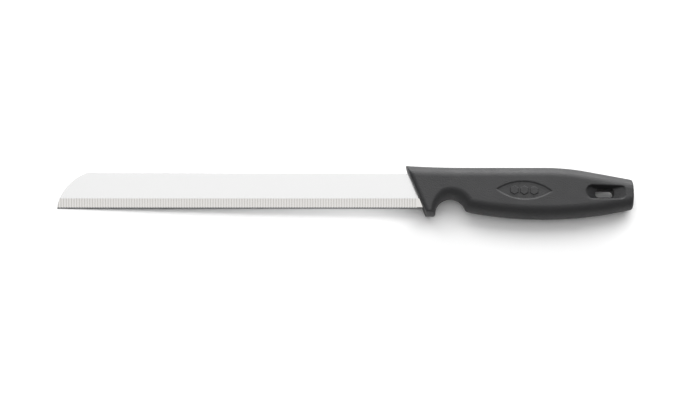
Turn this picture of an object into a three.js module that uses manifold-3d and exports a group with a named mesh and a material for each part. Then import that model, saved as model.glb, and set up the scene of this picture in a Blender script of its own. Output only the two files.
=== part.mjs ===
// Uncapping knife: a stainless blade, bevelled and fluted on one side, whose tang is moulded into a
// plastic handle. Millimetres. X runs from the tip of the blade to the butt, Y from the cutting edge to the
// spine, and Z through the thickness. The knife lies on the flat side of its handle at Z = 0, with the middle
// of its box at X = Y = 0. Each piece is drawn about the middle plane of the knife and lifted at the end.
import * as THREE from "three";
import { mergeVertices } from "three/addons/utils/BufferGeometryUtils.js";
import Module from "manifold-3d";

const wasm = await Module();
wasm.setup();

// Driving dimensions
const knifeLength = 330.2;
const knifeHeight = 31.2;
const handleLength = 130.2;
const handleThickness = 18;
const bladeThickness = 1.5;
const bladeHeight = 20.2;
const edgeY = -9.18;
const fit = 0.3; // gap all round the tang in its cavity
const past = 5; // how far a cutting tool reaches past what it cuts

// Ends of the knife, and the handle's top front corner
const tipX = -knifeLength / 2;
const buttX = knifeLength / 2;
const frontX = buttX - handleLength;
const topY = knifeHeight / 2;
const bottomY = -knifeHeight / 2;

// Blade
const tipWiden = 0.65; // the blade is this much higher at the tip than at the handle
const tipArcRadius = 26.6;
const tipRunBack = 17; // the spine starts this far behind the tip
const bevelHeight = 5.7; // cutting edge to the shoulder of the bevel
const edgeBevelHeight = 0.8; // the steeper bevel along the cutting edge
const edgeBevelTopZ = -0.35;
const edgeLand = 0.08; // thickness left at the cutting edge
const flutePitch = 1.5;
const fluteDepth = 0.08;
const flutesEndX = 41.5;

// Heel and tang, inside the handle
const heelX = 48;
const tangFrontX = 50;
const tangEndX = 126;
const tangTop = { frontY: 9.5, endY: 4.2 };
const tangBottom = { frontY: -0.6, endY: -3.8 };
const tangCorner = 2;
const tangHoleRadius = 2.6;
const tangHolesX = [62, 88, 114];

// Handle outline
const frontLean = 0.405; // the front face leans back this much for each millimetre down
const topRise = 1.18; // the top line climbs this much from its flat stretch to the front corner
const topFlatY = topY - topRise;
const topFlat = { fromX: 70, toX: 114 };
const topBend = { radius: 137, angle: THREE.MathUtils.degToRad(10.5) };
const bottomArc = { x: 113.8, radius: 225 };
const guard = { bottomY: -13.4, toX: 51 };
const notch = { x: 60.35, y: -12.45, radius: 8.55, round: 6.2 };
const bottomArcFromX = 69.4; // behind the notch
const buttCorner = 1.3;
const buttBow = 0.25;

// Handle section
const edgeRound = 6.9; // width of the rounding along the top, and along the bottom behind the notch
const guardRound = 1.8; // and along the bottom of the guard
const frontRound = 1.8;
const frontFlat = 7.2; // half thickness left at the front face
const roundSteps = 6;
const halfThickness = { front: 8.2, middle: handleThickness / 2, butt: 7.4 };
const middleSpan = { fromX: 75, toX: 128 }; // where the sides are flat and parallel

// Recesses in the handle's sides
const panelTilt = THREE.MathUtils.degToRad(-2.1); // the handle's back half droops towards the butt
const panel = { x: 102.3, y: -0.35, length: 32, radius: 26.7, depth: 0.5 };
const hangTilt = THREE.MathUtils.degToRad(-0.6);
const hang = { x: 149.1, y: -1.2, length: 22.2, height: 7.4, corner: 3.4 };
const hangFloor = { depth: 3.6, frontSlope: 5, buttSlope: 6.8, buttDepth: 0.8 };
const hangSlot = { x: 148.4, length: 10.2, height: 4.9, corner: 1.8 };

const blackPlastic = new THREE.MeshStandardMaterial({ color: 0x2b2b2c, roughness: 0.55, metalness: 0 });
const steel = new THREE.MeshStandardMaterial({ color: 0xc9cbcc, roughness: 0.28, metalness: 1 });

// ---- Solids and geometries ----

function solidOf(geometry) {
  const bare = geometry.clone();
  bare.deleteAttribute("normal");
  bare.deleteAttribute("uv");
  const merged = mergeVertices(bare, 1e-4);
  const corners = merged.index.array;
  const triVerts = [];
  for (let i = 0; i < corners.length; i += 3) {
    const [a, b, c] = corners.slice(i, i + 3);
    if (a !== b && b !== c && c !== a) triVerts.push(a, b, c);
  }
  const vertProperties = merged.attributes.position.array;
  const mesh = new wasm.Mesh({ numProp: 3, vertProperties, triVerts: new Uint32Array(triVerts) });
  return new wasm.Manifold(mesh);
}

function geometryOf(solid) {
  const mesh = solid.getMesh();
  const geometry = new THREE.BufferGeometry();
  geometry.setAttribute("position", new THREE.BufferAttribute(new Float32Array(mesh.vertProperties), 3));
  geometry.setIndex(new THREE.BufferAttribute(new Uint32Array(mesh.triVerts), 1));
  geometry.computeVertexNormals();
  return geometry;
}

// A straight-walled plate of a shape about the middle plane.
function plate(shape, thickness) {
  const options = { depth: thickness, curveSegments: 8, bevelEnabled: false };
  return solidOf(new THREE.ExtrudeGeometry(shape, options).translate(0, 0, -thickness / 2));
}

// The same plate grown by a gap on every side, and shrunk by it in its holes.
function grownPlate(shape, thickness, gap) {
  const walls = { bevelThickness: gap, bevelSize: 0, bevelOffset: gap, bevelSegments: 1 };
  const options = { depth: thickness, curveSegments: 8, ...walls };
  return solidOf(new THREE.ExtrudeGeometry(shape, options).translate(0, 0, -thickness / 2));
}

// A prism of a shape drawn on the axes u and v. It runs along u x v from the origin.
function prism(shape, u, v, origin, length) {
  const geometry = new THREE.ExtrudeGeometry(shape, { depth: length, curveSegments: 1, bevelEnabled: false });
  return geometry.applyMatrix4(new THREE.Matrix4().makeBasis(u, v, u.clone().cross(v)).setPosition(origin));
}

function shapeOf(corners) {
  return new THREE.Shape(corners.map(([u, v]) => new THREE.Vector2(u, v)));
}

const alongX = new THREE.Vector3(1, 0, 0);
const alongY = new THREE.Vector3(0, 1, 0);
const alongZ = new THREE.Vector3(0, 0, 1);

// ---- Blade ----

function spineY(x) {
  const towardsTip = (frontX - x) / (frontX - tipX);
  return edgeY + bladeHeight + tipWiden * towardsTip;
}

function tangMidY(x) {
  const along = (x - tangFrontX) / (tangEndX - tangFrontX);
  const frontY = (tangTop.frontY + tangBottom.frontY) / 2;
  const endY = (tangTop.endY + tangBottom.endY) / 2;
  return THREE.MathUtils.lerp(frontY, endY, along);
}

// The tip is one arc that rises from the cutting edge to the spine.
function tipArc(shape) {
  const tip = new THREE.Vector2(tipX, edgeY);
  const spineStart = new THREE.Vector2(tipX + tipRunBack, spineY(tipX + tipRunBack));
  const chord = spineStart.clone().sub(tip);
  const inward = new THREE.Vector2(chord.y, -chord.x).normalize();
  const toCentre = Math.sqrt(tipArcRadius ** 2 - chord.lengthSq() / 4);
  const centre = tip.clone().addScaledVector(chord, 0.5).addScaledVector(inward, toCentre);
  const angleOf = (point) => point.clone().sub(centre).angle();
  shape.absarc(centre.x, centre.y, tipArcRadius, angleOf(tip), angleOf(spineStart), true);
}

// The blade seen flat: tip, spine, tang with its holes, heel and cutting edge.
function bladeShape() {
  const shape = new THREE.Shape();
  tipArc(shape);
  shape.lineTo(heelX, spineY(heelX));
  shape.quadraticCurveTo(heelX, tangTop.frontY, tangFrontX, tangTop.frontY);
  shape.lineTo(tangEndX - tangCorner, tangTop.endY);
  shape.quadraticCurveTo(tangEndX, tangTop.endY, tangEndX, tangTop.endY - tangCorner);
  shape.lineTo(tangEndX, tangBottom.endY + tangCorner);
  shape.quadraticCurveTo(tangEndX, tangBottom.endY, tangEndX - tangCorner, tangBottom.endY);
  shape.lineTo(tangFrontX, tangBottom.frontY);
  shape.quadraticCurveTo(heelX, tangBottom.frontY, heelX, tangBottom.frontY - tangCorner);
  shape.lineTo(heelX, edgeY);
  for (const x of tangHolesX) {
    shape.holes.push(new THREE.Path().absarc(x, tangMidY(x), tangHoleRadius, 0, 2 * Math.PI));
  }
  return shape;
}

const bevelTop = { y: edgeY + bevelHeight, z: bladeThickness / 2 };
const bevelFoot = { y: edgeY + edgeBevelHeight, z: edgeBevelTopZ };
const bevelAngle = Math.atan2(bevelTop.z - bevelFoot.z, bevelTop.y - bevelFoot.y);

// What the grinding wheel takes away: everything above the bevel and above the steeper bevel at the edge.
function bevelTool() {
  const edgeZ = edgeLand - bladeThickness / 2;
  const edgeSlope = (bevelFoot.z - edgeZ) / edgeBevelHeight;
  const highZ = bevelTop.z + past * Math.tan(bevelAngle);
  const groundAway = shapeOf([
    [bevelFoot.y, bevelFoot.z],
    [bevelTop.y + past, highZ],
    [edgeY - past, highZ],
    [edgeY - past, edgeZ - past * edgeSlope],
  ]);
  const start = new THREE.Vector3(tipX - past, 0, 0);
  return solidOf(prism(groundAway, alongY, alongZ, start, heelX + 2 * past - tipX));
}

// A comb of shallow hollows side by side, which runs down the bevel.
function fluteTool() {
  const count = Math.floor((flutesEndX - tipX) / flutePitch) + 1;
  const arcRadius = (flutePitch ** 2 / 4 + fluteDepth ** 2) / (2 * fluteDepth);
  const halfAngle = Math.asin(flutePitch / 2 / arcRadius);
  const comb = new THREE.Shape();
  comb.moveTo(0, past);
  for (let i = 0; i < count; i++) {
    const middle = (i + 0.5) * flutePitch;
    const down = -Math.PI / 2;
    comb.absarc(middle, arcRadius - fluteDepth, arcRadius, down - halfAngle, down + halfAngle, false);
  }
  comb.lineTo(count * flutePitch, past);
  const offBevel = new THREE.Vector3(0, -Math.sin(bevelAngle), Math.cos(bevelAngle));
  const upBevel = new THREE.Vector3(0, Math.cos(bevelAngle), Math.sin(bevelAngle));
  const reach = bevelHeight + past;
  const start = new THREE.Vector3(flutesEndX - count * flutePitch, bevelFoot.y, bevelFoot.z);
  return solidOf(prism(comb, alongX, offBevel, start.addScaledVector(upBevel, reach), reach + past));
}

function makeBlade() {
  return plate(bladeShape(), bladeThickness).subtract(bevelTool()).subtract(fluteTool());
}

// ---- Handle ----

function topLine(x) {
  if (x < topFlat.fromX) {
    return topFlatY + topRise * ((topFlat.fromX - x) / (topFlat.fromX - frontX)) ** 2;
  }
  if (x < topFlat.toX) return topFlatY;
  const bendEndX = topFlat.toX + topBend.radius * Math.sin(topBend.angle);
  const alongArc = Math.min(x, bendEndX) - topFlat.toX;
  const arcDrop = topBend.radius - Math.sqrt(topBend.radius ** 2 - alongArc ** 2);
  return topFlatY - arcDrop - Math.max(0, x - bendEndX) * Math.tan(topBend.angle);
}

function bottomArcY(x) {
  return bottomY + bottomArc.radius - Math.sqrt(bottomArc.radius ** 2 - (x - bottomArc.x) ** 2);
}

// The bottom line before the finger notch is cut out of it.
function bottomLine(x) {
  if (x < guard.toX) return guard.bottomY;
  if (x > bottomArcFromX) return bottomArcY(x);
  return THREE.MathUtils.mapLinear(x, guard.toX, bottomArcFromX, guard.bottomY, bottomArcY(bottomArcFromX));
}

function bottomRoundAt(x) {
  const behindGuard = THREE.MathUtils.smoothstep(x, guard.toX, bottomArcFromX);
  return THREE.MathUtils.lerp(guardRound, edgeRound, behindGuard);
}

function halfThicknessAt(x) {
  const towardsMiddle = THREE.MathUtils.smoothstep(x, frontX, middleSpan.fromX);
  const towardsButt = THREE.MathUtils.smoothstep(x, middleSpan.toX, buttX + past);
  const front = THREE.MathUtils.lerp(halfThickness.front, halfThickness.middle, towardsMiddle);
  return THREE.MathUtils.lerp(front, halfThickness.butt, towardsButt);
}

// One closed section of the handle: flat sides joined by elliptical roundings, on a plane that can lean back.
function section({ x, lean, half, inset, bow }) {
  const top = topLine(x) - inset;
  let bottom = bottomY;
  for (let i = 0; i < 4; i++) bottom = bottomLine(x + lean * (top - bottom)) + inset;
  const middle = (top + bottom) / 2;
  const upwards = bottomRoundAt(x + lean * (top - bottom));
  const points = [];
  const add = (step, edge, round, side) => {
    const angle = (step / roundSteps) * (Math.PI / 2);
    const y = edge + round * (1 - Math.cos(angle));
    const bowed = bow * ((y - middle) / (top - middle)) ** 2;
    points.push(new THREE.Vector3(x + lean * (top - y) - bowed, y, side * half * Math.sin(angle)));
  };
  for (let step = 0; step <= roundSteps; step++) add(step, top, -edgeRound, 1);
  for (let step = roundSteps; step >= 0; step--) add(step, bottom, upwards, 1);
  for (let step = 1; step <= roundSteps; step++) add(step, bottom, upwards, -1);
  for (let step = roundSteps; step >= 1; step--) add(step, top, -edgeRound, -1);
  return points;
}

// The first sections round off the front face, the next ones swing upright, and the last round off the butt.
function handleSections() {
  const sections = [];
  const frontSteps = 5;
  for (let i = 0; i <= frontSteps; i++) {
    const angle = (i / frontSteps) * (Math.PI / 2);
    const x = frontX + frontRound * (1 - Math.cos(angle));
    const half = THREE.MathUtils.lerp(frontFlat, halfThicknessAt(x), Math.sin(angle));
    sections.push({ x, lean: frontLean, half, inset: 0, bow: 0 });
  }
  const spans = [
    { fromX: frontX + frontRound, toX: middleSpan.fromX, steps: 12 },
    { fromX: middleSpan.fromX, toX: topFlat.toX, steps: 5 },
    { fromX: topFlat.toX, toX: buttX - buttCorner, steps: 12 },
  ];
  for (const { fromX, toX, steps } of spans) {
    for (let i = 1; i <= steps; i++) {
      const x = THREE.MathUtils.lerp(fromX, toX, i / steps);
      const lean = frontLean * (1 - THREE.MathUtils.smoothstep(x, spans[0].fromX, middleSpan.fromX));
      const bow = buttBow * THREE.MathUtils.smoothstep(x, topFlat.toX, buttX);
      sections.push({ x, lean, half: halfThicknessAt(x), inset: 0, bow });
    }
  }
  const buttSteps = 3;
  for (let i = 1; i <= buttSteps; i++) {
    const angle = (i / buttSteps) * (Math.PI / 2);
    const x = buttX - buttCorner * (1 - Math.sin(angle));
    const inset = buttCorner * (1 - Math.cos(angle));
    sections.push({ x, lean: 0, half: halfThicknessAt(x) - inset, inset, bow: buttBow });
  }
  return sections;
}

// A closed skin over a row of sections that all have the same number of points.
function loft(rings) {
  const around = rings[0].length;
  const vertices = rings.flat();
  const index = [];
  for (let start = 0; start < vertices.length - around; start += around) {
    for (let i = 0; i < around; i++) {
      const a = start + i;
      const b = start + ((i + 1) % around);
      index.push(a, b, b + around, a, b + around, a + around);
    }
  }
  const lastStart = vertices.length - around;
  const addHub = (ring) => {
    const middle = new THREE.Vector3();
    for (const point of ring) middle.addScaledVector(point, 1 / around);
    return vertices.push(middle) - 1;
  };
  const frontHub = addHub(rings.at(0));
  const backHub = addHub(rings.at(-1));
  for (let i = 0; i < around; i++) {
    const next = (i + 1) % around;
    index.push(frontHub, next, i, backHub, lastStart + i, lastStart + next);
  }
  return new THREE.BufferGeometry().setFromPoints(vertices).setIndex(index);
}

// The finger notch: a spool that is narrowest at the middle plane and flares out to the handle's sides.
function notchTool() {
  const half = halfThickness.middle;
  const wide = notch.radius + notch.round;
  const profile = [new THREE.Vector2(0, -half - past), new THREE.Vector2(wide, -half - past)];
  for (let step = -roundSteps; step <= roundSteps; step++) {
    const angle = (step / roundSteps) * (Math.PI / 2);
    profile.push(new THREE.Vector2(wide - notch.round * Math.cos(angle), half * Math.sin(angle)));
  }
  profile.push(new THREE.Vector2(wide, half + past), new THREE.Vector2(0, half + past));
  return solidOf(new THREE.LatheGeometry(profile, 48).rotateX(Math.PI / 2).translate(notch.x, notch.y, 0));
}

// Tilts a cutting tool drawn about the origin, and puts it where it cuts.
function tilted(geometry, tilt, x, y) {
  return solidOf(geometry.rotateZ(tilt).translate(x, y, 0));
}

function straightTool(shape, fromZ, toZ) {
  const options = { depth: toZ - fromZ, curveSegments: 8, bevelEnabled: false };
  return new THREE.ExtrudeGeometry(shape, options).translate(0, 0, fromZ);
}

// The lens-shaped panel between two arcs, pressed into the upper side only.
function panelTool() {
  const halfAngle = Math.asin(panel.length / 2 / panel.radius);
  const offset = panel.radius * Math.cos(halfAngle);
  const up = Math.PI / 2;
  const lens = new THREE.Shape();
  lens.absarc(0, -offset, panel.radius, up + halfAngle, up - halfAngle, true);
  lens.absarc(0, offset, panel.radius, -up + halfAngle, -up - halfAngle, true);
  const surface = halfThickness.middle;
  return tilted(straightTool(lens, surface - panel.depth, surface + past), panelTilt, panel.x, panel.y);
}

function roundedRectangle({ length, height, corner }) {
  const shape = new THREE.Shape();
  const x = length / 2 - corner;
  const y = height / 2 - corner;
  const quarter = Math.PI / 2;
  shape.absarc(x, y, corner, 0, quarter, false);
  shape.absarc(-x, y, corner, quarter, 2 * quarter, false);
  shape.absarc(-x, -y, corner, 2 * quarter, 3 * quarter, false);
  shape.absarc(x, -y, corner, 3 * quarter, 4 * quarter, false);
  return shape;
}

// The hang recess on one side (1 or -1): a rounded outline, with a floor that slopes up towards both ends.
function hangRecessTool(side) {
  const surface = halfThicknessAt(hang.x);
  const floor = surface - hangFloor.depth;
  const half = hang.length / 2;
  const aboveFloor = [
    [-half, surface],
    [-half + hangFloor.frontSlope, floor],
    [half - hangFloor.buttSlope, floor],
    [half, surface - hangFloor.buttDepth],
    [half, surface + past],
    [-half, surface + past],
  ];
  const sideView = shapeOf(aboveFloor.map(([x, z]) => [x, side * z]));
  const ramped = prism(sideView, alongX, alongZ, new THREE.Vector3(0, hang.height, 0), 2 * hang.height);
  const reach = surface + 2 * past;
  const outline = straightTool(roundedRectangle(hang), -reach, reach);
  return tilted(ramped, hangTilt, hang.x, hang.y).intersect(tilted(outline, hangTilt, hang.x, hang.y));
}

function hangSlotTool() {
  const reach = halfThickness.middle + past;
  return tilted(straightTool(roundedRectangle(hangSlot), -reach, reach), hangTilt, hangSlot.x, hang.y);
}

function makeHandle() {
  return solidOf(loft(handleSections().map(section)))
    .subtract(notchTool())
    .subtract(panelTool())
    .subtract(hangRecessTool(1))
    .subtract(hangRecessTool(-1))
    .subtract(hangSlotTool())
    .subtract(grownPlate(bladeShape(), bladeThickness, fit));
}

// ---- Assembly ----

function pieceMesh(name, solid, material) {
  const mesh = new THREE.Mesh(geometryOf(solid), material);
  mesh.name = name;
  mesh.position.z = handleThickness / 2;
  return mesh;
}

const uncappingKnife = new THREE.Group();
uncappingKnife.add(pieceMesh("blade", makeBlade(), steel), pieceMesh("handle", makeHandle(), blackPlastic));

export default uncappingKnife;
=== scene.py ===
"""Uncapping knife: a fluted stainless blade moulded into a black plastic handle, lying on a pale sheet.

The pieces are built in millimetres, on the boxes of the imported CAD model, and become metres when they become
objects.
"""

import math

import bmesh
import bpy
import numpy as np
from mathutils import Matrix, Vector


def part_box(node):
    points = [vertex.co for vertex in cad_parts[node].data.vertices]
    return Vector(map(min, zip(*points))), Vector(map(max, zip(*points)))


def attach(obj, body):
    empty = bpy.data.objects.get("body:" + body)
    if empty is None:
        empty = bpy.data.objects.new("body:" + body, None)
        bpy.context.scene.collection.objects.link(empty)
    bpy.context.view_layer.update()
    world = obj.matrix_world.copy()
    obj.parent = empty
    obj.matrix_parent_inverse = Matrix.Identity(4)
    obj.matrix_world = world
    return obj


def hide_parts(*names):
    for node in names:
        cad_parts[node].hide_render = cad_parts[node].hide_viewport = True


MM = 0.001

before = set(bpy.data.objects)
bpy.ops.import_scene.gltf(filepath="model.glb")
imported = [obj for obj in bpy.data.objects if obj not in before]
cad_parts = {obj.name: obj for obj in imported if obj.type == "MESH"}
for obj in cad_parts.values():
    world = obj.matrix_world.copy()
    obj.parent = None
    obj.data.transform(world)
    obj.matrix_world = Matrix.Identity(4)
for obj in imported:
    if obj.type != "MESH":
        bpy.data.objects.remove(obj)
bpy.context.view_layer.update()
handle_low, handle_high = (np.array(corner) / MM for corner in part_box("handle"))
blade_low, blade_high = (np.array(corner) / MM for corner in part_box("blade"))

# Handle outline, with the CAD model's dimensions
FRONT_X, BOTTOM_Y, _ = handle_low
BUTT_X, TOP_Y, TOP_Z = handle_high
MIDDLE_Z = TOP_Z / 2
FRONT_LEAN = 0.405  # the front face leans back this much for each millimetre down
TOP_RISE = 1.18
TOP_FLAT_FROM, TOP_FLAT_TO = 70.0, 114.0
TOP_BEND_RADIUS = 137.0
TOP_BEND_ANGLE = math.radians(10.5)
BOTTOM_ARC_X, BOTTOM_ARC_RADIUS = 113.8, 225.0
GUARD_Y, GUARD_TO_X = -13.4, 51.0
NOTCH_X, NOTCH_Y, NOTCH_RADIUS = 60.35, -12.45, 8.55
BEHIND_NOTCH_X = 69.4
BUTT_BOW = 0.25

# Handle roundings: widths seen flat, and how softly faces run into each other. The front face is rounded
# more than in the CAD model, and the notch is rounded less beside the guard.
EDGE_ROUND = 6.9
NOTCH_ROUND, NOTCH_ROUND_AT_GUARD = 6.2, 3.6
GUARD_SIDE = 0.2  # how far round the notch, as a cosine, its rounding starts to narrow
GUARD_ROUND = 1.8
FRONT_ROUND = 2.3
FRONT_SHARE = 0.48  # part of the front rounding's ellipse that the flat front face leaves
CORNER_POWER = 8
FRONT_SOFTNESS = 0.5
BUTT_SOFTNESS = 1.4
HALF_FRONT, HALF_MIDDLE, HALF_BUTT = 8.2, TOP_Z / 2, 7.4
FULL_FROM_X, FULL_TO_X = 75.0, 128.0
THINNEST_X = BUTT_X + 5

# Recesses, with the CAD model's dimensions except for the hang recess's corners
PANEL_TILT = math.radians(-2.1)
PANEL_X, PANEL_Y, PANEL_LENGTH, PANEL_RADIUS, PANEL_DEPTH = 102.3, -0.35, 32.0, 26.7, 0.5
PANEL_WALL_LEAN, PANEL_SOFTNESS = 0.5, 0.3
HANG_TILT = math.radians(-0.6)
HANG_X, HANG_Y, HANG_LENGTH, HANG_HEIGHT, HANG_DEPTH = 149.1, -1.2, 22.2, 7.4, 3.6
HANG_FRONT_SLOPE, HANG_BUTT_SLOPE, HANG_BUTT_DEPTH = 5.0, 6.8, 0.8
HANG_FRONT_CORNER, HANG_BUTT_CORNER = 3.6, 2.4
HANG_WALL_LEAN = 0.35
HANG_FLOOR_SOFTNESS, HANG_RIM_SOFTNESS = 0.6, 0.5
SLOT_X, SLOT_LENGTH, SLOT_HEIGHT, SLOT_CORNER = 148.4, 10.2, 4.9, 1.8
SLOT_DRAFT, SLOT_SOFTNESS = 0.02, 0.4

# Closed honeycomb cells on the floor of the lens-shaped panel, which the CAD model leaves plain
CELL_COUNT, CELL_PITCH, CELL_RADIUS = 3, 5.6, 2.9
CELL_HEIGHT, CELL_SLOPE, CELL_ROOT = 0.45, 0.55, 0.1

# Blade, with the CAD model's main dimensions. The chamfered spine and the slightly hollow bevel are only
# here, and the tang's corners are square.
TIP_X, EDGE_Y = blade_low[0], blade_low[1]
TANG_END_X = blade_high[0]
HALF_STEEL = (blade_high[2] - blade_low[2]) / 2
BLADE_HEIGHT = 20.2
TIP_WIDEN = 0.65
TIP_RADIUS, TIP_RUN_BACK = 26.6, 17.0
BEVEL_HEIGHT, EDGE_BEVEL_HEIGHT = 5.7, 0.8
EDGE_BEVEL_TOP, EDGE_LAND = -0.35, 0.08
FLUTE_PITCH, FLUTE_DEPTH = 1.5, 0.08
FLUTES_END_X = 41.5
HOLLOW_GRIND = 0.05
HEEL_X, TANG_FRONT_X = 48.0, 50.0
TANG_TOP_Y, TANG_BOTTOM_Y = (9.5, 4.2), (-0.6, -3.8)
TANG_HOLES_X, TANG_HOLE_RADIUS = (62.0, 88.0, 114.0), 2.6
SPINE_CHAMFER = 0.18
BLADE_GAP = 0.03  # between the steel and the plastic moulded round it

# Meshes
HANDLE_GRID = (0.45, 0.36, 0.36)
HEXAGON, CIRCLE_SIDES = 6, 40
COLUMNS_PER_FLUTE = 10
TIP_COLUMNS, PLAIN_COLUMNS, HEEL_COLUMNS, TANG_COLUMNS = 90, 12, 9, 60
EDGE_BEVEL_ROWS, BEVEL_ROWS = 5, 16
FACE_ROWS = (0, 0.3, 3, 7, 11)  # heights above the bevel's shoulder
STEEPEST = 8  # slope of the tip's outline past which its chamfer stops widening
SHARP_STEEL_ANGLE = math.radians(8)
MERGE_DISTANCE = 0.0005
FACE_SLOT, BEVEL_SLOT, EDGE_SLOT = 0, 1, 2

# Scratches and grain: noise units in a metre, and the part of the noise's range that is used
ALONG_BLADE = (60.0, 9000.0, 9000.0)
ACROSS_BLADE = (9000.0, 60.0, 60.0)
NOISE_LOW, NOISE_HIGH = 0.3, 0.7
SCRATCHED = 0.15  # share by which scratches change the steel's roughness

# Sheet: where it folds, and how far below the knife it lies
FLOOR_FOLD_X = 55.0
BUTT_FOLD_X, BUTT_FLOOR_RISE = 133.0, 1.2
FLOOR_GAP, FLOOR_REACH = 0.05, 3000.0

# Camera, in metres
WIDTH_SEEN, CAMERA_DISTANCE = 0.3893, 1.4
CAMERA_ELEVATION = math.radians(78)
AIM_X, AIM_Y = -0.0031, -0.0057


# ---- Mesh helpers ----


def new_object(name, points_mm, faces, materials=(), smooth=True):
    """An object in the scene, from points in millimetres."""
    mesh = bpy.data.meshes.new(name)
    mesh.from_pydata((np.asarray(points_mm) * MM).tolist(), [], [list(map(int, face)) for face in faces])
    mesh.validate()
    obj = bpy.data.objects.new(name, mesh)
    bpy.context.scene.collection.objects.link(obj)
    for material in materials:
        mesh.materials.append(material)
    mesh.polygons.foreach_set("use_smooth", [smooth] * len(mesh.polygons))
    return obj


def smoothstep(x, low, high):
    """Climbs gently from 0 at low to 1 at high."""
    t = np.clip((x - low) / (high - low), 0, 1)
    return t * t * (3 - 2 * t)


def soft_max(a, b, softness):
    """The larger of two fields, with the crease between them rounded off."""
    overlap = np.maximum(softness - np.abs(a - b), 0) / softness
    return np.maximum(a, b) + overlap * overlap * softness / 4


def grid_net(field, low, high, steps):
    """Quads over a field's zero surface: one point in each grid cell that the surface crosses."""
    axes = [np.arange(low[i] - 2 * steps[i], high[i] + 3 * steps[i], steps[i]) for i in range(3)]
    inside = field(*np.meshgrid(*axes, indexing="ij")) < 0
    corner_count = sum(
        inside[i : i - 1 or None, j : j - 1 or None, k : k - 1 or None].astype(int)
        for i in (0, 1)
        for j in (0, 1)
        for k in (0, 1)
    )
    crossed = (corner_count > 0) & (corner_count < 8)
    index = np.full(crossed.shape, -1)
    index[crossed] = np.arange(crossed.sum())
    cells = np.argwhere(crossed)
    points = np.stack([axes[i][cells[:, i]] + steps[i] / 2 for i in range(3)], 1)
    quads = []
    for axis in range(3):
        second, third = (axis + 1) % 3, (axis + 2) % 3
        before = np.take(inside, np.arange(inside.shape[axis] - 1), axis)
        after = np.take(inside, np.arange(1, inside.shape[axis]), axis)
        edges = np.argwhere(before != after)
        around = []
        for shift_second, shift_third in ((-1, -1), (0, -1), (0, 0), (-1, 0)):
            cell = edges.copy()
            cell[:, second] += shift_second
            cell[:, third] += shift_third
            around.append(index[tuple(cell.T)])
        faces = np.stack(around, 1)
        outward = before[tuple(edges.T)]
        faces[~outward] = faces[~outward][:, ::-1]
        quads.append(faces)
    return points, np.concatenate(quads)


def settle(points, field, rounds):
    """Moves points onto a field's zero surface along its slope."""
    reach, longest, flattest, shortest = 0.02, 0.3, 0.05, 1e-9
    for _ in range(rounds):
        slope = np.stack(
            [(field(*(points + d).T) - field(*(points - d).T)) / (2 * reach) for d in np.eye(3) * reach], 1
        )
        move = slope * (field(*points.T) / np.maximum((slope**2).sum(1), flattest))[:, None]
        length = np.linalg.norm(move, axis=1, keepdims=True)
        points = points - move * np.minimum(1, longest / np.maximum(length, shortest))
    return points


def relax(points, quads, share):
    """Moves each point part of the way to the middle of its neighbours."""
    total = np.zeros_like(points)
    count = np.zeros(len(points))
    for side in range(4):
        a, b = quads[:, side], quads[:, (side + 1) % 4]
        for start, end in ((a, b), (b, a)):
            np.add.at(total, start, points[end])
            np.add.at(count, start, 1)
    return points + share * (total / count[:, None] - points)


def prism(low_outline, high_outline, low_z, high_z):
    """A solid between two outlines with the same number of corners, as points and faces."""
    count = len(low_outline)
    points = [(x, y, low_z) for x, y in low_outline] + [(x, y, high_z) for x, y in high_outline]
    sides = [(i, (i + 1) % count, (i + 1) % count + count, i + count) for i in range(count)]
    return points, [tuple(range(count))[::-1], tuple(range(count, 2 * count)), *sides]


def polygon(x, y, radius, sides, turn=0.0):
    """The corners of a regular polygon."""
    angles = [turn + 2 * math.pi * i / sides for i in range(sides)]
    return [(x + radius * math.cos(angle), y + radius * math.sin(angle)) for angle in angles]


def together(solids):
    """The points and faces of several solids, as one list of each."""
    points, faces = [], []
    for solid_points, solid_faces in solids:
        faces += [tuple(i + len(points) for i in face) for face in solid_faces]
        points += solid_points
    return points, faces


def combine(obj, tool, operation):
    """Cuts a tool out of an object, or joins it on, and takes the tool away."""
    modifier = obj.modifiers.new(operation, "BOOLEAN")
    modifier.operation, modifier.object, modifier.solver = operation, tool, "MANIFOLD"
    result = bpy.data.meshes.new_from_object(obj.evaluated_get(bpy.context.evaluated_depsgraph_get()))
    obj.modifiers.clear()
    obj.data = result
    bpy.data.objects.remove(tool)


# ---- Handle ----


def top_line(x):
    rising = TOP_RISE * (np.maximum(TOP_FLAT_FROM - x, 0) / (TOP_FLAT_FROM - FRONT_X)) ** 2
    bend_length = TOP_BEND_RADIUS * math.sin(TOP_BEND_ANGLE)
    along = np.clip(x - TOP_FLAT_TO, 0, bend_length)
    drop = TOP_BEND_RADIUS - np.sqrt(TOP_BEND_RADIUS**2 - along**2)
    straight = np.maximum(x - TOP_FLAT_TO - bend_length, 0) * math.tan(TOP_BEND_ANGLE)
    return TOP_Y - TOP_RISE + rising - drop - straight


def bottom_arc(x):
    return BOTTOM_Y + BOTTOM_ARC_RADIUS - np.sqrt(BOTTOM_ARC_RADIUS**2 - (x - BOTTOM_ARC_X) ** 2)


def bottom_line(x):
    across_notch = np.interp(x, [GUARD_TO_X, BEHIND_NOTCH_X], [GUARD_Y, bottom_arc(BEHIND_NOTCH_X)])
    return np.where(x > BEHIND_NOTCH_X, bottom_arc(x), across_notch)


def half_thickness(x):
    """Half the handle's thickness: full in the middle, and less towards both ends."""
    front = HALF_FRONT + (HALF_MIDDLE - HALF_FRONT) * smoothstep(x, FRONT_X, FULL_FROM_X)
    return front + (HALF_BUTT - front) * smoothstep(x, FULL_TO_X, THINNEST_X)


def tilted(x, y, tilt, centre_x, centre_y):
    """Distances along and across a tilted recess, from its centre."""
    along = (x - centre_x) * math.cos(tilt) + (y - centre_y) * math.sin(tilt)
    across = (y - centre_y) * math.cos(tilt) - (x - centre_x) * math.sin(tilt)
    return along, across


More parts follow.
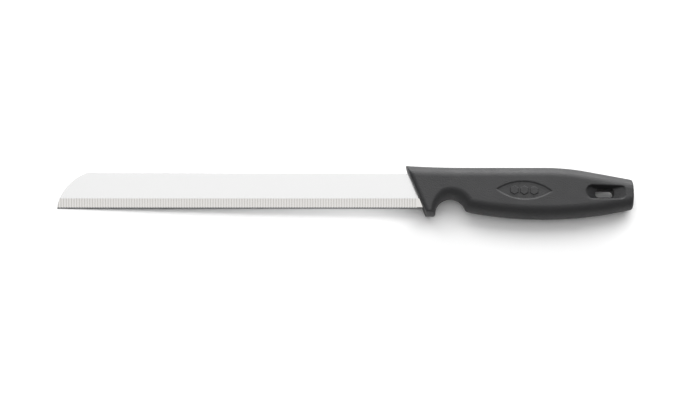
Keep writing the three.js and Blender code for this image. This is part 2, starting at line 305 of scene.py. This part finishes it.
def rounded_rectangle(along, across, length, height, corner):
    """Distance outside a rounded rectangle, negative inside."""
    a = np.abs(along) - length / 2 + corner
    b = np.abs(across) - height / 2 + corner
    outside = np.hypot(np.maximum(a, 0), np.maximum(b, 0))
    return outside + np.minimum(np.maximum(a, b), 0) - corner


def handle_body(x, y, height):
    """The handle without its recesses. Each edge rounds into the flat sides on its own ellipse."""
    front = (x - FRONT_X - FRONT_LEAN * (TOP_Y - y)) / math.hypot(1, FRONT_LEAN)
    from_notch = np.hypot(x - NOTCH_X, y - NOTCH_Y)
    at_guard = smoothstep((NOTCH_X - x) / from_notch, GUARD_SIDE, 1)
    notch_round = NOTCH_ROUND + (NOTCH_ROUND_AT_GUARD - NOTCH_ROUND) * at_guard
    bottom_round = GUARD_ROUND + (EDGE_ROUND - GUARD_ROUND) * smoothstep(x, GUARD_TO_X, BEHIND_NOTCH_X)
    edges = (
        1 - (top_line(x) - y) / EDGE_ROUND,
        1 - (y - bottom_line(x)) / bottom_round,
        1 - (from_notch - NOTCH_RADIUS) / notch_round,
        FRONT_SHARE * (1 - front / FRONT_ROUND),
    )
    inset = sum(np.maximum(edge, 0) ** CORNER_POWER for edge in edges) ** (1 / CORNER_POWER)
    half = half_thickness(x)
    rise = height / half
    reach = np.hypot(inset, rise)
    slope = np.hypot(inset / EDGE_ROUND, rise / half)
    gentlest = 1e-3
    body = (reach - 1) * reach / np.maximum(slope, gentlest)
    middle_y = (top_line(BUTT_X) + bottom_arc(BUTT_X)) / 2
    bow = BUTT_BOW * ((y - middle_y) / (top_line(BUTT_X) - middle_y)) ** 2
    body = soft_max(body, -front, FRONT_SOFTNESS)
    return soft_max(body, x + bow - BUTT_X, BUTT_SOFTNESS)


def hang_recess(x, y, height):
    """Both hang recesses, with a floor that ramps up at each end, and the slot through them."""
    along, across = tilted(x, y, HANG_TILT, HANG_X, HANG_Y)
    surface = half_thickness(HANG_X)
    below = surface - np.abs(height)
    corner = np.where(along < 0, HANG_FRONT_CORNER, HANG_BUTT_CORNER)
    outline = rounded_rectangle(along, across, HANG_LENGTH, HANG_HEIGHT, corner)
    wall = outline + HANG_WALL_LEAN * (below - HANG_BUTT_DEPTH)
    half = HANG_LENGTH / 2
    front_ramp = HANG_DEPTH * (along + half) / HANG_FRONT_SLOPE
    butt_ramp = HANG_BUTT_DEPTH + (HANG_DEPTH - HANG_BUTT_DEPTH) * (half - along) / HANG_BUTT_SLOPE
    floor = below - np.clip(np.minimum(front_ramp, butt_ramp), 0, HANG_DEPTH)
    recess = soft_max(wall, floor, HANG_FLOOR_SOFTNESS)
    along, across = tilted(x, y, HANG_TILT, SLOT_X, HANG_Y)
    slot = rounded_rectangle(along, across, SLOT_LENGTH, SLOT_HEIGHT, SLOT_CORNER)
    return recess, slot - SLOT_DRAFT * np.abs(height)


def lens(x, y):
    """Distance outside the panel's outline, where two arcs meet in a point at each end."""
    along, across = tilted(x, y, PANEL_TILT, PANEL_X, PANEL_Y)
    offset = math.sqrt(PANEL_RADIUS**2 - PANEL_LENGTH**2 / 4)
    upper = np.hypot(along, across + offset) - PANEL_RADIUS
    lower = np.hypot(along, across - offset) - PANEL_RADIUS
    return soft_max(upper, lower, PANEL_SOFTNESS)


def handle_field(x, y, z):
    """Negative inside the plastic, positive outside."""
    height = z - MIDDLE_Z
    body = handle_body(x, y, height)
    recess, slot = hang_recess(x, y, height)
    sunk = HALF_MIDDLE - PANEL_DEPTH - height
    panel = soft_max(lens(x, y) + PANEL_WALL_LEAN * (HALF_MIDDLE - height), sunk, PANEL_SOFTNESS)
    body = soft_max(body, -recess, HANG_RIM_SOFTNESS)
    body = soft_max(body, -slot, SLOT_SOFTNESS)
    return soft_max(body, -panel, PANEL_SOFTNESS)


def make_handle(material):
    """The moulding's outside, as a net laid on its surface and then evened out."""
    points, quads = grid_net(handle_field, handle_low, handle_high, HANDLE_GRID)
    points = settle(points, handle_field, rounds=4)
    for _ in range(3):
        points = relax(points, quads, share=0.5)
        points = settle(points, handle_field, rounds=2)
    return new_object("handle_moulding", points, quads, [material])


def add_motif(handle):
    """A row of closed honeycomb cells with sloping sides, raised on the floor of the lens-shaped panel."""
    floor_z = TOP_Z - PANEL_DEPTH
    turn = PANEL_TILT + math.pi / 2
    cells = []
    for i in range(CELL_COUNT):
        along = (i - (CELL_COUNT - 1) / 2) * CELL_PITCH
        x = PANEL_X + along * math.cos(PANEL_TILT)
        y = PANEL_Y + along * math.sin(PANEL_TILT)
        foot = polygon(x, y, CELL_RADIUS, HEXAGON, turn)
        top = polygon(x, y, CELL_RADIUS - CELL_SLOPE, HEXAGON, turn)
        cells.append(prism(foot, top, floor_z - CELL_ROOT, floor_z + CELL_HEIGHT))
    motif = new_object("cells", *together(cells), handle.data.materials, smooth=False)
    combine(handle, motif, "UNION")


def add_cavity(handle, blade):
    """Cuts room for the blade's heel and tang, and leaves plastic through the tang's holes."""
    room = new_object("blade_room", [], [])
    room.data = blade.data.copy()
    normals = [vertex.normal.copy() for vertex in room.data.vertices]
    for vertex, normal in zip(room.data.vertices, normals):
        vertex.co += normal * BLADE_GAP * MM
    combine(handle, room, "DIFFERENCE")


# ---- Blade ----


def spine_y(x):
    return EDGE_Y + BLADE_HEIGHT + TIP_WIDEN * (FRONT_X - x) / (FRONT_X - TIP_X)


def tip_circle():
    """Centre of the arc from the blade's tip to its spine."""
    tip = np.array([TIP_X, EDGE_Y])
    spine_start = np.array([TIP_X + TIP_RUN_BACK, spine_y(TIP_X + TIP_RUN_BACK)])
    chord = spine_start - tip
    inward = np.array([chord[1], -chord[0]]) / np.linalg.norm(chord)
    return tip + chord / 2 + inward * math.sqrt(TIP_RADIUS**2 - chord @ chord / 4)


TIP_CENTRE = tip_circle()


def blade_top_y(x):
    """The spine, which falls along the tip's arc at one end and steps down to the tang at the other."""
    reach = np.clip(TIP_CENTRE[0] - x, 0, TIP_RADIUS)
    arc = TIP_CENTRE[1] + np.sqrt(TIP_RADIUS**2 - reach**2)
    tang = np.interp(x, [TANG_FRONT_X, TANG_END_X], TANG_TOP_Y)
    top = np.where(x < TIP_X + TIP_RUN_BACK, arc, spine_y(x))
    return top + (tang - top) * smoothstep(x, HEEL_X, TANG_FRONT_X)


def blade_bottom_y(x):
    tang = np.interp(x, [TANG_FRONT_X, TANG_END_X], TANG_BOTTOM_Y)
    return EDGE_Y + (tang - EDGE_Y) * smoothstep(x, HEEL_X, TANG_FRONT_X)


def bevel_z(x, y):
    """Height of the fluted bevel and of the steeper bevel at the edge, about the blade's middle plane."""
    foot = EDGE_Y + EDGE_BEVEL_HEIGHT
    slope = (HALF_STEEL - EDGE_BEVEL_TOP) / (BEVEL_HEIGHT - EDGE_BEVEL_HEIGHT)
    phase = ((FLUTES_END_X - x) / FLUTE_PITCH) % 1
    hollow = np.where(x < FLUTES_END_X, FLUTE_DEPTH * (1 - (2 * phase - 1) ** 2), 0)
    rise = np.clip((y - foot) / (BEVEL_HEIGHT - EDGE_BEVEL_HEIGHT), 0, 1)
    hollow = hollow + HOLLOW_GRIND * 4 * rise * (1 - rise)
    edge_z = EDGE_LAND - HALF_STEEL
    edge_slope = (EDGE_BEVEL_TOP - edge_z) / EDGE_BEVEL_HEIGHT
    return np.minimum(EDGE_BEVEL_TOP + slope * (y - foot) - hollow, edge_z + edge_slope * (y - EDGE_Y))


def blade_columns():
    """Positions along the blade, close together round the tip and over each flute."""
    tip = TIP_X + TIP_RUN_BACK * (1 - np.cos(np.linspace(0, math.pi / 2, TIP_COLUMNS)[:-1]))
    fluted = np.arange(FLUTES_END_X, TIP_X, -FLUTE_PITCH / COLUMNS_PER_FLUTE)[::-1]
    plain = np.linspace(FLUTES_END_X, HEEL_X, PLAIN_COLUMNS)[1:]
    heel = np.linspace(HEEL_X, TANG_FRONT_X, HEEL_COLUMNS)[1:]
    tang = np.linspace(TANG_FRONT_X, TANG_END_X, TANG_COLUMNS)[1:]
    return np.unique(np.concatenate([tip, fluted, plain, heel, tang]).round(4))


def blade_rows(x):
    """Lines along the blade's upper side, from the edge to the spine, and which steel lies above each."""
    low, high = blade_bottom_y(x), blade_top_y(x)
    steepness = np.minimum(np.abs(np.gradient(high, x)), STEEPEST)
    inner = np.maximum(high - SPINE_CHAMFER * np.hypot(1, steepness), low)
    foot, shoulder = EDGE_Y + EDGE_BEVEL_HEIGHT, EDGE_Y + BEVEL_HEIGHT
    edge_bevel = np.linspace(EDGE_Y, foot, EDGE_BEVEL_ROWS)[:-1]
    bevel = np.linspace(foot, shoulder, BEVEL_ROWS)[:-1]
    face = [shoulder + row for row in FACE_ROWS]
    levels = np.concatenate([edge_bevel, bevel, face])
    rows = [np.clip(np.full_like(x, level), low, inner) for level in levels]
    slots = [EDGE_SLOT] * len(edge_bevel) + [BEVEL_SLOT] * len(bevel) + [FACE_SLOT] * (len(face) + 1)
    return np.stack([*rows, inner, high]), slots


def make_blade(*steels):
    """The blade and its tang, in three copies of one steel: the face's; the bevel's, darker as painted shade;
    and the edge bevel's, much darker as a painted dark reflection.
    """
    x = blade_columns()
    y, slots = blade_rows(x)
    xs = np.broadcast_to(x, y.shape)
    top_z = np.minimum(bevel_z(xs, y), HALF_STEEL)
    top_z[-1] = np.minimum(top_z[-1], HALF_STEEL - SPINE_CHAMFER)
    bottom_z = np.full_like(y, -HALF_STEEL)
    bottom_z[-1] = np.minimum(SPINE_CHAMFER - HALF_STEEL, top_z[-1] - EDGE_LAND / 4)
    upper = np.stack([xs, y, top_z + MIDDLE_Z], 2)
    lower = np.stack([xs, y, bottom_z + MIDDLE_Z], 2)[::-1]
    ring = np.concatenate([upper, lower])
    rows, columns = ring.shape[:2]
    index = np.arange(rows * columns).reshape(rows, columns)
    following = np.roll(index, -1, axis=0)
    quads = np.stack([index[:, :-1], index[:, 1:], following[:, 1:], following[:, :-1]], 2).reshape(-1, 4)
    slots = slots + [FACE_SLOT] * (rows - len(slots))
    ends = [index[:, 0].tolist(), index[::-1, -1].tolist()]
    blade = new_object("blade_steel", ring.reshape(-1, 3), [*quads.tolist(), *ends], steels)
    face_slots = np.repeat(slots, columns - 1).tolist() + [FACE_SLOT, FACE_SLOT]
    blade.data.polygons.foreach_set("material_index", face_slots)
    clean(blade)
    blade.data.set_sharp_from_angle(angle=SHARP_STEEL_ANGLE)
    return blade


def drill_tang(blade):
    """Drills the moulding holes, midway between the tang's edges."""
    drills = []
    for x in TANG_HOLES_X:
        top = np.interp(x, [TANG_FRONT_X, TANG_END_X], TANG_TOP_Y)
        bottom = np.interp(x, [TANG_FRONT_X, TANG_END_X], TANG_BOTTOM_Y)
        circle = polygon(x, (top + bottom) / 2, TANG_HOLE_RADIUS, CIRCLE_SIDES)
        drills.append(prism(circle, circle, 0, TOP_Z))
    combine(blade, new_object("drills", *together(drills), smooth=False), "DIFFERENCE")


def clean(obj):
    """Merges the points that lie on top of each other, and turns every face outwards."""
    tidy = bmesh.new()
    tidy.from_mesh(obj.data)
    bmesh.ops.remove_doubles(tidy, verts=tidy.verts, dist=MERGE_DISTANCE * MM)
    bmesh.ops.dissolve_degenerate(tidy, edges=tidy.edges, dist=MERGE_DISTANCE * MM)
    bmesh.ops.recalc_face_normals(tidy, faces=tidy.faces)
    tidy.to_mesh(obj.data)
    tidy.free()


# ---- Materials ----


def new_material(name, color, roughness, metallic=0.0):
    material = bpy.data.materials.new(name)
    material.use_nodes = True
    shader = material.node_tree.nodes["Principled BSDF"]
    shader.inputs["Base Color"].default_value = (*color, 1)
    shader.inputs["Roughness"].default_value = roughness
    shader.inputs["Metallic"].default_value = metallic
    return material


def add_node(material, kind, **inputs):
    """A node with its inputs set: each is a value, or the output socket that feeds it."""
    node = material.node_tree.nodes.new(kind)
    for name, value in inputs.items():
        feed(material, node.inputs[name.replace("_", " ")], value)
    return node


def feed(material, socket, value):
    """Links an output socket to an input, or sets the input to a value."""
    if isinstance(value, bpy.types.NodeSocket):
        material.node_tree.links.new(value, socket)
    else:
        socket.default_value = value


def add_spread(material, noise, low, high):
    """Turns a noise's usual range into the range from low to high."""
    node = add_node(
        material,
        "ShaderNodeMapRange",
        Value=noise.outputs["Fac"],
        From_Min=NOISE_LOW,
        From_Max=NOISE_HIGH,
        To_Min=low,
        To_Max=high,
    )
    return node.outputs["Result"]


def handle_plastic():
    """Black polypropylene with a fine even grain, and a gloss that varies slightly over the surface."""
    material = new_material("black_polypropylene", (0.02, 0.02, 0.021), 0.55)
    shader = material.node_tree.nodes["Principled BSDF"]
    shader.inputs["Specular IOR Level"].default_value = 0.38
    place = add_node(material, "ShaderNodeTexCoord").outputs["Object"]
    wear = add_node(material, "ShaderNodeTexNoise", Vector=place, Scale=90.0, Detail=4.0, Roughness=0.6)
    spread = add_spread(material, wear, 0.5, 0.6)
    feed(material, shader.inputs["Roughness"], spread)
    grain = add_node(material, "ShaderNodeTexNoise", Vector=place, Scale=1500.0, Detail=3.0)
    bump = add_node(material, "ShaderNodeBump", Height=grain.outputs["Fac"], Strength=0.8, Distance=0.00025)
    feed(material, shader.inputs["Normal"], bump.outputs["Normal"])
    return material


def blade_steel(name, color, roughness, stretch, scratch_depth):
    """Stainless steel with fine scratches along the direction that the surface was ground in."""
    material = new_material(name, color, roughness, 1.0)
    shader = material.node_tree.nodes["Principled BSDF"]
    place = add_node(material, "ShaderNodeTexCoord").outputs["Object"]
    drawn_out = add_node(material, "ShaderNodeMapping", Vector=place, Scale=stretch)
    scratches = add_node(
        material, "ShaderNodeTexNoise", Vector=drawn_out.outputs["Vector"], Scale=1.0, Detail=5.0
    )
    spread = add_spread(material, scratches, roughness * (1 - SCRATCHED), roughness * (1 + SCRATCHED))
    feed(material, shader.inputs["Roughness"], spread)
    bump = add_node(
        material, "ShaderNodeBump", Height=scratches.outputs["Fac"], Strength=0.3, Distance=scratch_depth
    )
    feed(material, shader.inputs["Normal"], bump.outputs["Normal"])
    return material


# ---- Stage ----


def add_floor():
    """A sheet that lies flat under the handle, and rises under the butt and to just below the blade's tip."""
    level = handle_low[2] - FLOOR_GAP
    slope = (blade_low[2] - FLOOR_GAP - level) / (FLOOR_FOLD_X - TIP_X)
    heights = (
        (-FLOOR_REACH, level + slope * (FLOOR_REACH + FLOOR_FOLD_X)),
        (FLOOR_FOLD_X, level),
        (BUTT_FOLD_X, level),
        (BUTT_X, level + BUTT_FLOOR_RISE),
        (FLOOR_REACH, level + BUTT_FLOOR_RISE),
    )
    points = [(x, y, z) for x, z in heights for y in (-FLOOR_REACH, FLOOR_REACH)]
    material = new_material("white_sheet", (0.95, 0.95, 0.95), 1.0)
    strips = [(i, i + 2, i + 3, i + 1) for i in range(0, len(points) - 2, 2)]
    new_object("floor", points, strips, [material], smooth=False)


def add_light(name, position, target, size, radiance):
    """A rectangular light, in metres, as bright per unit area as its radiance says."""
    width, height = size
    light = bpy.data.lights.new(name, "AREA")
    light.shape = "RECTANGLE"
    light.size, light.size_y = width, height
    light.energy = radiance * math.pi * width * height
    obj = bpy.data.objects.new(name, light)
    obj.location = position
    obj.rotation_euler = (Vector(target) - Vector(position)).to_track_quat("-Z", "Y").to_euler()
    bpy.context.scene.collection.objects.link(obj)


def add_camera():
    target = Vector((AIM_X, AIM_Y, MIDDLE_Z * MM))
    towards_camera = Vector((0, -math.cos(CAMERA_ELEVATION), math.sin(CAMERA_ELEVATION)))
    camera = bpy.data.cameras.new("camera")
    camera.lens = camera.sensor_width * CAMERA_DISTANCE / WIDTH_SEEN
    camera.clip_end = 20
    obj = bpy.data.objects.new("camera", camera)
    obj.location = target + CAMERA_DISTANCE * towards_camera
    obj.rotation_euler = (math.pi / 2 - CAMERA_ELEVATION, 0, 0)
    bpy.context.scene.collection.objects.link(obj)
    bpy.context.scene.camera = obj


def add_world():
    world = bpy.data.worlds.new("studio")
    bpy.context.scene.world = world
    world.use_nodes = True
    world.node_tree.nodes["Background"].inputs["Color"].default_value = (0.2, 0.2, 0.2, 1)
    bpy.context.scene.view_settings.view_transform = "Standard"


add_camera()
add_world()
add_floor()
add_light("core", (-0.1, 0.08, 1.2), target=(-0.1, 0.08, 0), size=(0.7, 1.05), radiance=0.55)
add_light("overhead", (0, 0.04, 1.22), target=(0, 0.04, 0), size=(2.0, 1.15), radiance=0.97)
add_light("back", (0.1, 0.95, 1.25), target=(0, 0, 0), size=(3.0, 0.8), radiance=3.35)
add_light("horizon", (0.2, 1.5, 0.3), target=(0, 0, 0), size=(2.4, 0.3), radiance=21.0)

blade = make_blade(
    blade_steel("satin_steel", (0.505, 0.505, 0.505), 0.18, ALONG_BLADE, 0.000004),
    # The ground bevel's steel is darker than the face's: painted shade for the lesser light that the fluted
    # bevel catches.
    blade_steel("ground_bevel_painted_shade", (0.455, 0.445, 0.432), 0.12, ACROSS_BLADE, 0.000004),
    # The edge bevel's steel is much darker than the others: a painted dark reflection, standing in for the
    # dark line that the steep edge bevel shows by reflecting the dim surroundings.
    blade_steel("edge_bevel", (0.3, 0.3, 0.3), 0.12, ACROSS_BLADE, 0.000002),
)
drill_tang(blade)
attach(blade, "root")
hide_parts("blade")

handle = make_handle(handle_plastic())
add_motif(handle)
add_cavity(handle, blade)
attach(handle, "root")
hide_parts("handle")
